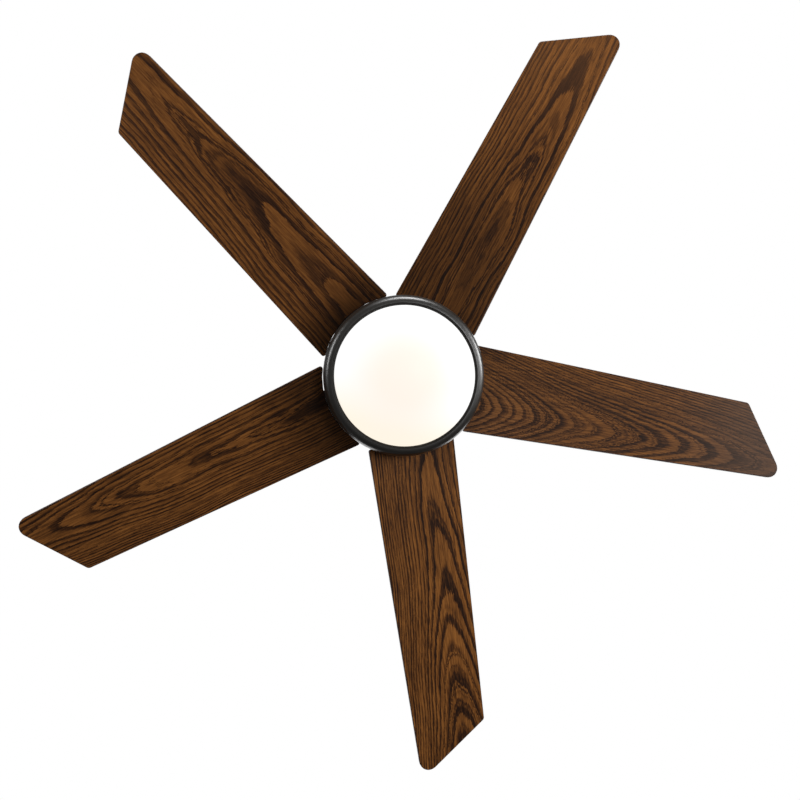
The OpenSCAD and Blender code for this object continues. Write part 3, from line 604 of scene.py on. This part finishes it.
def shade(made, sharpFrom=35):
    made.data.shade_smooth()
    made.data.set_sharp_from_angle(angle=math.radians(sharpFrom))


# finishes a piece, hangs it on its body's empty and hides the CAD nodes that it takes the place of
def dress(made, body, slot, stands, finish=None):
    # finishes a piece and says which body it rides on and which CAD nodes it stands for
    if not made.data.materials:
        made.data.materials.append(finish or finishes[slot])
    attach(made, body)
    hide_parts(*stands)
    return made


bladeSpec = {"edgeRound": 0.9 * mm}


def underOutline(i):
    # the outline of a CAD blade's underside, in its own plane
    work = meshOf(f"blade_{i + 1}", bladePlane(i).inverted())
    under = {face for face in work.faces if face.normal.z < -0.99}
    follow = {}
    for edge in work.edges:
        if sum(face in under for face in edge.link_faces) == 1:
            for vert in edge.verts:
                follow.setdefault(vert, []).append(edge.other_vert(vert))
    start = next(iter(follow))
    loop, last, here = [start], start, follow[start][0]
    while here is not start:
        loop.append(here)
        last, here = here, next(v for v in follow[here] if v is not last)
    outline = [(v.co.x, v.co.y) for v in loop]
    work.free()
    return outline


def makeBlade(i):
    name = f"blade_{i + 1}"
    plane = bladePlane(i)
    half = bladeThick / 2
    work = prism(underOutline(i), -half, half)
    rims = [edge for edge in work.edges if abs(edge.verts[0].co.z - edge.verts[1].co.z) < 1e-7]
    softenRims(work, rims, bladeSpec["edgeRound"])
    made = asObject(f"oakBlade_{i + 1}", work, plane)
    holes = []
    for low, high in islands("blade_inserts", plane.inverted()):
        middle = (low + high) / 2
        if low.x > 0 and abs(middle.z) < half:
            holes.append(prism(circle((high.x - low.x) / 2, middle.x, middle.y), low.z, half + mm))
    combine(made, joined(holes))
    made.data.materials.clear()
    made.data.materials.append(boardFinishes[i])
    made.data.materials.append(oakEdge)
    for face in made.data.polygons:
        flat = abs(face.normal.z) > 0.999
        face.material_index = 0 if flat else 1
        face.use_smooth = not flat
    return dress(made, "rotor", "dark_oak", [name])


for i in range(bladeCount):
    makeBlade(i)
print("blades made:", bladeCount)


ironSpec = {
    "tongueIn": 60 * mm, "tongueHalf": 22 * mm, "tongueOut": 100 * mm, "neckHalf": 26 * mm,
    "twistFrom": 95 * mm, "twistTo": 126 * mm, "plateHalf": 34 * mm, "taperFrom": 140.2 * mm,
    "tailHalf": 24.5 * mm, "tongueCorner": 8 * mm, "tailCorner": 16 * mm, "thick": 3 * mm,
    "edgeRound": 0.5 * mm, "screwHole": 2.8 * mm, "rows": 48, "columns": 12,
}


def ease(value):
    value = min(1, max(0, value))
    return value * value * (3 - 2 * value)


def ironHalf(u, tail):
    # half the iron's width at distance u from the axis
    spec = ironSpec
    if u < spec["tongueOut"]:
        share = (u - spec["tongueIn"]) / (spec["tongueOut"] - spec["tongueIn"])
        half = spec["tongueHalf"] + (spec["neckHalf"] - spec["tongueHalf"]) * share
    elif u < spec["taperFrom"]:
        share = (u - spec["tongueOut"]) / (spec["twistTo"] - spec["tongueOut"])
        half = spec["neckHalf"] + (spec["plateHalf"] - spec["neckHalf"]) * ease(share)
    else:
        share = (u - spec["taperFrom"]) / (tail - spec["taperFrom"])
        half = spec["plateHalf"] + (spec["tailHalf"] - spec["plateHalf"]) * share
    ends = ((u - spec["tongueIn"], spec["tongueCorner"]), (tail - u, spec["tailCorner"]))
    for gap, corner in ends:
        if gap < corner:
            half -= corner - math.sqrt(max(0, corner ** 2 - (corner - gap) ** 2))
    return half


def ironStations(tail):
    # distances from the axis at which the iron has a row of points, close together at its corners
    spec = ironSpec
    rounds = [1 - math.cos(math.pi / 2 * k / 8) for k in range(8)]
    stations = [spec["tongueIn"] + spec["tongueCorner"] * share for share in rounds]
    first, last = spec["tongueIn"] + spec["tongueCorner"], tail - spec["tailCorner"]
    stations += [first + (last - first) * k / spec["rows"] for k in range(spec["rows"])]
    rounds = [1 - math.cos(math.pi / 2 * k / 10) for k in range(9, -1, -1)]
    return stations + [tail - spec["tailCorner"] * share for share in rounds]


def ironPlate(tail):
    # the iron's plate: level where it meets the rotor, then twisted to the blade's pitch
    spec = ironSpec
    columns = spec["columns"]
    foot = bladeThick / 2
    work = bmesh.new()
    sides = []
    for height in (foot, foot + spec["thick"]):
        rows = []
        for u in ironStations(tail):
            half = ironHalf(u, tail)
            share = (u - spec["twistFrom"]) / (spec["twistTo"] - spec["twistFrom"])
            tilt = Matrix.Rotation(-bladePitch * ease(share), 3, "X")
            across = [half * (2 * k / columns - 1) for k in range(columns + 1)]
            rows.append([work.verts.new(tilt @ Vector((u, y, height))) for y in across])
        sides.append(rows)
    for rows in sides:
        for first, second in zip(rows, rows[1:]):
            for k in range(columns):
                work.faces.new((first[k], first[k + 1], second[k + 1], second[k]))
    loops = []
    for rows in sides:
        loop = rows[0][:-1] + [row[-1] for row in rows[:-1]]
        loops.append(loop + rows[-1][:0:-1] + [row[0] for row in rows[:0:-1]])
    for k in range(len(loops[0])):
        m = (k + 1) % len(loops[0])
        work.faces.new((loops[0][k], loops[0][m], loops[1][m], loops[1][k]))
    tidy(work)
    wanted = {frozenset((loop[k - 1], loop[k])) for loop in loops for k in range(len(loop))}
    softenRims(work, [e for e in work.edges if frozenset(e.verts) in wanted], spec["edgeRound"], 2)
    return work


def makeIron(i):
    spec = ironSpec
    name = f"blade_iron_{i + 1}"
    plane = bladePlane(i)
    flat = plane @ Matrix.Rotation(bladePitch, 4, "X")
    tail = max(v.co.x for v in meshOf(name, plane.inverted()).verts)
    foot = bladeThick / 2
    made = asObject(f"bladeIron_{i + 1}", ironPlate(tail), flat)
    holes = []
    for source, to in (("blade_screws", plane), ("iron_screws", flat)):
        for low, high in islands(source, to.inverted()):
            spot = (low + high) / 2
            if low.x > 0 and abs(spot.y) < spec["plateHalf"] and spot.x < tail:
                hole = circle(spec["screwHole"], spot.x, spot.y)
                drill = prism(hole, foot - 3 * mm, foot + 6 * mm)
                holes.append(moved(drill, flat.inverted() @ to))
    combine(made, joined(holes))
    shade(made, 50)
    return dress(made, "rotor", "dark_bronze", [name])


for i in range(bladeCount):
    makeIron(i)
print("irons made:", bladeCount)


screwShape = {
    "crown": 1.1, "domeOut": 0.93, "seat": 0.97,    # shares of the head's radius
    "slotLong": 0.56, "slotHalf": 0.095,
    "wallTop": 0.42, "wallFoot": 0.12,              # shares of the head's height
    "pointLong": 0.4, "pointR": 0.6,                # shares of the shank's radius
}


def screwMesh(headR, headH, shankR, length):
    # pan-head screw, its seat at height 0 and its cross recess up
    spec = screwShape
    crown = headR * spec["crown"]
    dome = [Vector((0, headH))] + arc(0, -crown, crown + headH, 90, 64, 5)[1:]
    dome = [p for p in dome if p.x < headR * spec["domeOut"]]
    wallTop = headH * spec["wallTop"]
    side = [Vector((headR, wallTop)), Vector((headR, headH * spec["wallFoot"]))]
    side.append(Vector((headR * spec["seat"], 0)))
    shank = [Vector((shankR, 0)), Vector((shankR, -length + shankR * spec["pointLong"])),
             Vector((shankR * spec["pointR"], -length)), Vector((0, -length))]
    made = asObject("screw", tidy(turned(dome + side + shank, 40)))
    arm, slotHalf = headR * spec["slotLong"], headR * spec["slotHalf"]
    for a, b in ((arm, slotHalf), (slotHalf, arm)):
        combine(made, prism([(-a, -b), (a, -b), (a, b), (-a, b)], wallTop, headH * 2))
    shade(made, 40)
    mesh = made.data
    bpy.data.objects.remove(made)
    return mesh


def placeScrew(name, mesh, place, body, stands):
    made = bpy.data.objects.new(name, mesh)
    bpy.context.scene.collection.objects.link(made)
    made.matrix_world = place
    return dress(made, body, "dark_bronze", stands)


bladeScrew = {
    "shank": 2.5 * mm,
    "widest": 9.5 * mm,    # a head of another blade lies askew and is wider
}


def makeBladeScrews():
    seat = bladeThick / 2 + ironSpec["thick"]
    mesh = None
    for i in range(bladeCount):
        plane = bladePlane(i)
        mine = []
        for low, high in islands("blade_screws", plane.inverted()):
            onIron = low.x > 0 and abs(low.y + high.y) < 2 * ironSpec["plateHalf"]
            if onIron and high.x - low.x < bladeScrew["widest"]:
                mine.append((low, high))
        for k, (low, high) in enumerate(sorted(mine, key=lambda box: (box[0].x, box[0].y))):
            if not mesh:
                headR, headH = (high.x - low.x) / 2, high.z - seat
                mesh = screwMesh(headR, headH, bladeScrew["shank"], seat - low.z)
            spot = (low + high) / 2
            place = plane @ Matrix.Translation((spot.x, spot.y, seat))
            placeScrew(f"bladeScrew_{i + 1}_{k + 1}", mesh, place, "rotor", ["blade_screws"])


makeBladeScrews()


canopySpec = {
    "sheet": 1 * mm, "neckGap": 3.5 * mm, "skirt": 21 * mm,
    "screwHole": 2.3 * mm, "screwShank": 2 * mm, "screwSeat": 0.3 * mm,
}


def makeCanopy():
    spec = canopySpec
    low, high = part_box("canopy")
    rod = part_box("downrod")[1].x
    foot = high.z - spec["skirt"]
    neck = rod + spec["neckGap"] + spec["sheet"] / 2
    path = [Vector((high.x, high.z))] + bowl(neck, low.z, high.x, foot)
    made = asObject("canopyShell", tidy(turned(sheetOutline(path[::-1], spec["sheet"]))))
    holes = []
    for a, b in islands("canopy_screws"):
        spot = (a + b) / 2
        drill = prism(circle(spec["screwHole"]), -6 * mm, 6 * mm)
        wall = Matrix.Translation((math.copysign(high.x, spot.x), spot.y, spot.z))
        holes.append(moved(drill, wall @ Matrix.Rotation(math.pi / 2, 4, "Y")))
    combine(made, joined(holes))
    shade(made)
    dress(made, "ceiling_mount", "dark_bronze", ["canopy"])


def makeCanopyScrews():
    spec = canopySpec
    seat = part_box("canopy")[1].x + spec["screwSeat"]
    mesh = None
    for a, b in islands("canopy_screws"):
        spot = (a + b) / 2
        side = math.copysign(1, spot.x)
        inner, outer = sorted((abs(a.x), abs(b.x)))
        if not mesh:
            mesh = screwMesh((b.z - a.z) / 2, outer - seat, spec["screwShank"], seat - inner)
        place = Matrix.Translation((side * seat, spot.y, spot.z))
        place = place @ Matrix.Rotation(side * math.pi / 2, 4, "Y")
        name = "canopyScrew_right" if side > 0 else "canopyScrew_left"
        placeScrew(name, mesh, place, "ceiling_mount", ["canopy_screws"])


makeCanopy()
makeCanopyScrews()
print("canopy made")


coverSpec = {"sheet": 1 * mm, "rodGap": 0.6 * mm}


def makeCouplingCover():
    low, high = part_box("coupling_cover")
    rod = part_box("downrod")[1].x
    path = bowl(rod + coverSpec["rodGap"], high.z, high.x, low.z)
    made = asObject("couplingCover", tidy(turned(sheetOutline(path, coverSpec["sheet"]))))
    shade(made)
    dress(made, "hanging_fan", "dark_bronze", ["coupling_cover"])


housingSpec = {
    "sheet": 1.2 * mm, "flat": 60 * mm, "round": 36 * mm, "bore": 9.5 * mm,
    "vents": 12, "ventWide": 5 * mm, "ventIn": 68 * mm, "ventOut": 92 * mm,
    "switchLong": 9 * mm, "switchHigh": 5 * mm, "switchDeep": 12 * mm,
    "screws": 4, "screwRing": 33 * mm, "screwHole": 2.2 * mm,
}


def housingOutline(low, high):
    # a pressed shell, open below, with a beaded lip
    spec = housingSpec
    lip = low.z + spec["sheet"]
    foot = high.z - spec["round"]
    outside = [Vector((high.x, lip))]
    outside += bowl(spec["flat"], high.z, high.x, foot) + [Vector((spec["bore"], high.z))]
    inside = [Vector((high.x - spec["sheet"], lip + spec["sheet"]))]
    inside += bowl(spec["flat"], high.z - spec["sheet"], high.x - spec["sheet"], foot)
    inside += [Vector((spec["bore"], high.z - spec["sheet"]))]
    bead = arc(high.x - spec["sheet"], lip, spec["sheet"], 90, 360, 14)
    return outside + inside[::-1] + bead[1:-1]


def housingCutters(high):
    # cooling slots, screw holes, and the gate for the reverse switch
    spec = housingSpec
    foot = high.z - spec["round"]
    cutters = []
    for k in range(spec["vents"]):
        a = (k + 0.5) * 2 * math.pi / spec["vents"]
        half = spec["ventWide"] / 2
        ends = [(spec["ventOut"], 0, -90, 90), (spec["ventIn"], 0, 90, 270)]
        slotShape = [tuple(p) for x, y, start, end in ends for p in arc(x, y, half, start, end, 8)]
        cutters.append(moved(prism(slotShape, foot, high.z + 10 * mm), Matrix.Rotation(a, 4, "Z")))
    for k in range(spec["screws"]):
        a = math.radians((k + 0.5) * 360 / spec["screws"])
        x, y = spec["screwRing"] * math.cos(a), spec["screwRing"] * math.sin(a)
        cutters.append(prism(circle(spec["screwHole"], x, y, 16), high.z - 5 * mm, high.z + 5 * mm))
    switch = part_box("reverse_switch")
    middle = (switch[0] + switch[1]) / 2
    wide, tall = spec["switchLong"] / 2, spec["switchHigh"] / 2
    front, back = -high.x - mm, -high.x + spec["switchDeep"]
    gate = [(middle.x - wide, front), (middle.x + wide, front),
            (middle.x + wide, back), (middle.x - wide, back)]
    cutters.append(prism(gate, middle.z - tall, middle.z + tall))
    return cutters


def makeHousing():
    low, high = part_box("motor_housing")
    made = asObject("motorHousing", tidy(turned(housingOutline(low, high))))
    combine(made, joined(housingCutters(high)))
    shade(made)
    dress(made, "hanging_fan", "dark_bronze", ["motor_housing"])


makeCouplingCover()
makeHousing()
print("motor housing made")


ringSpec = {
    "sheet": 1.2 * mm, "sideCurve": 60 * mm, "sideTurn": 20, "roll": 11 * mm, "lipTurn": 50,
    "glassGap": 1 * mm, "bore": 16 * mm, "holes": 2.2 * mm,
    "mattLip": 4.2 * mm,    # the lip is matt out to this far from the glass
}
glassR = 112 * mm


def ringPath(low, high, widest):
    # pan and trim ring are one spun sheet: flat top, round shoulder, gentle side, rolled lip
    spec = ringSpec
    shoulder = high.z - widest
    turn = math.radians(spec["sideTurn"])
    rollR = high.x - spec["sideCurve"] * (1 - math.cos(turn)) - spec["roll"] * math.cos(turn)
    rollZ = widest - spec["sideCurve"] * math.sin(turn) + spec["roll"] * math.sin(turn)
    lipRoll = (rollR - glassR - spec["glassGap"]) / math.sin(math.radians(spec["lipTurn"]))
    path = [Vector((spec["bore"], high.z))]
    path += arc(high.x - shoulder, widest, shoulder, 90, 0, 24)
    path += arc(high.x - spec["sideCurve"], widest, spec["sideCurve"], 0, -spec["sideTurn"], 12)[1:]
    path += arc(rollR, rollZ, spec["roll"], -spec["sideTurn"], -90, 24)[1:]
    path += arc(rollR, low.z + lipRoll, lipRoll, -90, -90 - spec["lipTurn"], 10)[1:]
    return path


def makeLightRing():
    spec = ringSpec
    low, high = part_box("light_pan")
    widest = widestHeight("light_pan")
    path = ringPath(low, high, widest)
    made = asObject("lightRing", tidy(turned(sheetOutline(path[::-1], spec["sheet"]), 256)))
    holes = []
    for source in ("pan_screws", "led_standoffs"):
        for a, b in islands(source):
            spot = (a + b) / 2
            drill = circle(spec["holes"], spot.x, spot.y, 20)
            holes.append(prism(drill, high.z - 4 * mm, high.z + 4 * mm))
    combine(made, joined(holes))
    shade(made)
    made.data.materials.clear()
    made.data.materials.append(finishes["dark_bronze"])
    made.data.materials.append(lipFinish())
    for face in made.data.polygons:
        lip = face.center.z < widest and face.center.xy.length < glassR + spec["mattLip"]
        face.material_index = 1 if lip else 0
    dress(made, "hanging_fan", "dark_bronze", ["light_pan"])


glassSpec = {
    "wall": 3 * mm, "rimBelow": 2 * mm, "shoulder": 2.5 * mm, "neckIn": 8.5 * mm,
    "edgeRound": 1.1 * mm, "lipRound": 0.6 * mm, "neckRound": 0.9 * mm,
    "lugs": 3, "lugSpan": 14, "lugHigh": 2.5 * mm,
}


def glassOutline(low, high, neck):
    # a shallow bowl whose rounded edge steps in to a neck
    spec = glassSpec
    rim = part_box("light_pan")[0].z + spec["rimBelow"]
    depth = rim - low.z
    cap = (glassR ** 2 + depth ** 2) / (2 * depth)
    rise = math.degrees(math.asin(glassR / cap))
    inner = cap - spec["wall"]
    innerRise = math.degrees(math.asin((neck - spec["wall"]) / inner))
    outside = arc(0, low.z + cap, cap, -90, -90 + rise, 48)
    inside = arc(0, low.z + cap, inner, -90 + innerRise, -90, 48)
    shoulder = rim + spec["shoulder"]
    corners = [(glassR, shoulder), (neck, shoulder), (neck, high.z), (neck - spec["wall"], high.z)]
    path = outside[:-1]
    edge, lip, rest = spec["edgeRound"], spec["lipRound"], spec["neckRound"]
    path += rounded([outside[-2], outside[-1], *corners, inside[0], inside[1]],
                    [0, edge, edge, lip, rest, rest, 0, 0])[1:-2]
    return path + inside


def makeGlass():
    # the bowl, and three lugs that lock under the light's plate
    spec = glassSpec
    low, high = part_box("glass_dome")
    neck = glassR - spec["neckIn"]
    made = asObject("opalGlass", tidy(turned(glassOutline(low, high, neck), 192)))
    lugs = []
    top = [v.co for v in nodes["glass_dome"].data.vertices if v.co.z > high.z - mm]
    reach = max(math.hypot(co.x, co.y) for co in top)
    for k in range(spec["lugs"]):
        centre = 90 + k * 360 / spec["lugs"]
        start, end = centre - spec["lugSpan"] / 2, centre + spec["lugSpan"] / 2
        corners = arc(0, 0, reach, start, end, 8)
        corners += arc(0, 0, neck - spec["wall"] / 2, end, start, 8)
        lugs.append(prism([tuple(p) for p in corners], high.z - spec["lugHigh"], high.z))
    combine(made, joined(lugs), "UNION")
    shade(made)
    dress(made, "glass", "opal_glass", ["glass_dome"])


makeLightRing()
makeGlass()
print("light made")


switchEdge = 0.35 * mm


def dressWorkingParts():
    # the CAD's own solids keep their shape and get the finish of their slot
    for name, node in nodes.items():
        if node.hide_render:
            continue
        node.data.materials.clear()
        node.data.materials.append(finishes[slotOf[name]])
    for name in ("reverse_switch", "switch_slider"):
        soft = nodes[name].modifiers.new("soft edges", "BEVEL")
        soft.width = switchEdge
        soft.segments = 2
        soft.limit_method = "ANGLE"


dressWorkingParts()
print("working parts finished")


cameraSpec = {
    "place": (-0.09855, 0.01350, -1.56424),
    "aim": (0.00335, 0.04013, -0.26495),
    "rightward": -10.13,    # degrees about the fan's axis: the way the view's right side points
    "lens": 35.43, "sensor": 36,
}


def makeCamera():
    data = bpy.data.cameras.new("view from below")
    data.lens = cameraSpec["lens"]
    data.sensor_width = cameraSpec["sensor"]
    camera = bpy.data.objects.new("view from below", data)
    bpy.context.scene.collection.objects.link(camera)
    place, aim = Vector(cameraSpec["place"]), Vector(cameraSpec["aim"])
    back = (place - aim).normalized()
    azimuth = math.radians(cameraSpec["rightward"])
    top = back.cross(Vector((math.cos(azimuth), math.sin(azimuth), 0))).normalized()
    right = top.cross(back)
    turn = Matrix((right, top, back)).transposed().to_4x4()
    camera.matrix_world = Matrix.Translation(place) @ turn
    bpy.context.scene.camera = camera


# azimuths are degrees about the fan's axis, distances and heights from the middle of the blades
lamps = {
    "key panel": {
        "azimuth": -24, "away": 2.10, "height": -0.26, "size": (0.82, 0.80), "power": 43,
    },
    "far panel": {
        "azimuth": 189, "away": 1.58, "height": -0.22, "size": (0.70, 0.50), "power": 11.5,
    },
    "near panel": {
        "azimuth": -95, "away": 2.50, "height": -0.18, "size": (1.08, 1.00), "power": 64,
    },
    "low softbox": {
        "azimuth": -20, "away": 1.60, "height": -1.14, "size": (0.70, 0.70), "power": 11.0,
    },
    "small softbox": {
        "azimuth": -30, "away": 0.50, "height": -1.25, "size": (0.40, 0.40), "power": 3.6,
    },
    "ceiling wash": {
        "azimuth": 60, "away": 0.70, "height": 1.50, "size": (2.20, 2.20), "power": 26,
    },
}


def makeLamps():
    for name, spec in lamps.items():
        data = bpy.data.lights.new(name, "AREA")
        data.shape = "RECTANGLE"
        data.size, data.size_y = spec["size"]
        data.energy = spec["power"]
        lamp = bpy.data.objects.new(name, data)
        bpy.context.scene.collection.objects.link(lamp)
        a = math.radians(spec["azimuth"])
        away, height = spec["away"], bladeZ + spec["height"]
        lamp.location = (away * math.cos(a), away * math.sin(a), height)
        aim = Vector((0, 0, bladeZ)) - lamp.location
        lamp.rotation_euler = aim.to_track_quat("-Z", "Y").to_euler()


studio = {
    "ambient": 0.16,
    "floor": paint(0.36, 0.36, 0.355), "floorMarks": paint(0.38, 0.38, 0.375),
    "floorHeight": -2.45, "floorRadius": 9,
    "floorWhite": 0.62, "farWhite": 0.96, "fadeFrom": 2.5,    # the floor turns white out from here
}


def backgroundShare(wire):
    # 1 for the rays that see the background itself, in the open or through glass
    path = wire.node("LightPath")
    return wire.math("MAXIMUM", path.out("Is Camera Ray"), path.out("Is Transmission Ray"))


def makeStudio():
    world = bpy.data.worlds.new("white room")
    bpy.context.scene.world = world
    world.use_nodes = True
    world.node_tree.nodes.clear()
    start = Wire(world.node_tree, None)
    seen = backgroundShare(start)
    strength = seen * (1 - studio["ambient"]) + studio["ambient"]
    light = start.node("Background", {}, {"Color": paint(1, 1, 1), "Strength": strength})
    start.node("OutputWorld", {}, {"Surface": light}, out=None)

    material, place = newFinish("pale floor")
    marks = place.noise(scale=3, detail=3)
    colour = marks.mix(studio["floor"], studio["floorMarks"])
    parts = place.node("SeparateXYZ", {}, {0: place})
    away = (parts.out("X") ** 2 + parts.out("Y") ** 2) ** 0.5
    white = away.between(studio["fadeFrom"], studio["floorRadius"],
                         studio["floorWhite"], studio["farWhite"])
    seen = place.node("LightPath").out("Is Camera Ray") * white
    seen = seen.ramp([(0, (0, 0, 0)), (1, (1, 1, 1))])
    shader = place.node("BsdfPrincipled", {}, {
        "Base Color": colour, "Roughness": 0.9, "Specular IOR Level": 0.1,
        "Emission Color": seen, "Emission Strength": 1})
    place.node("OutputMaterial", {}, {"Surface": shader}, out=None)
    work = bmesh.new()
    bmesh.ops.create_circle(work, cap_ends=True, segments=96, radius=studio["floorRadius"])
    floor = asObject("floor", work, Matrix.Translation((0, 0, studio["floorHeight"])))
    floor.data.materials.append(material)


makeCamera()
makeLamps()
makeStudio()
bpy.context.scene.view_settings.view_transform = "Standard"
print("camera, lamps and studio ready")
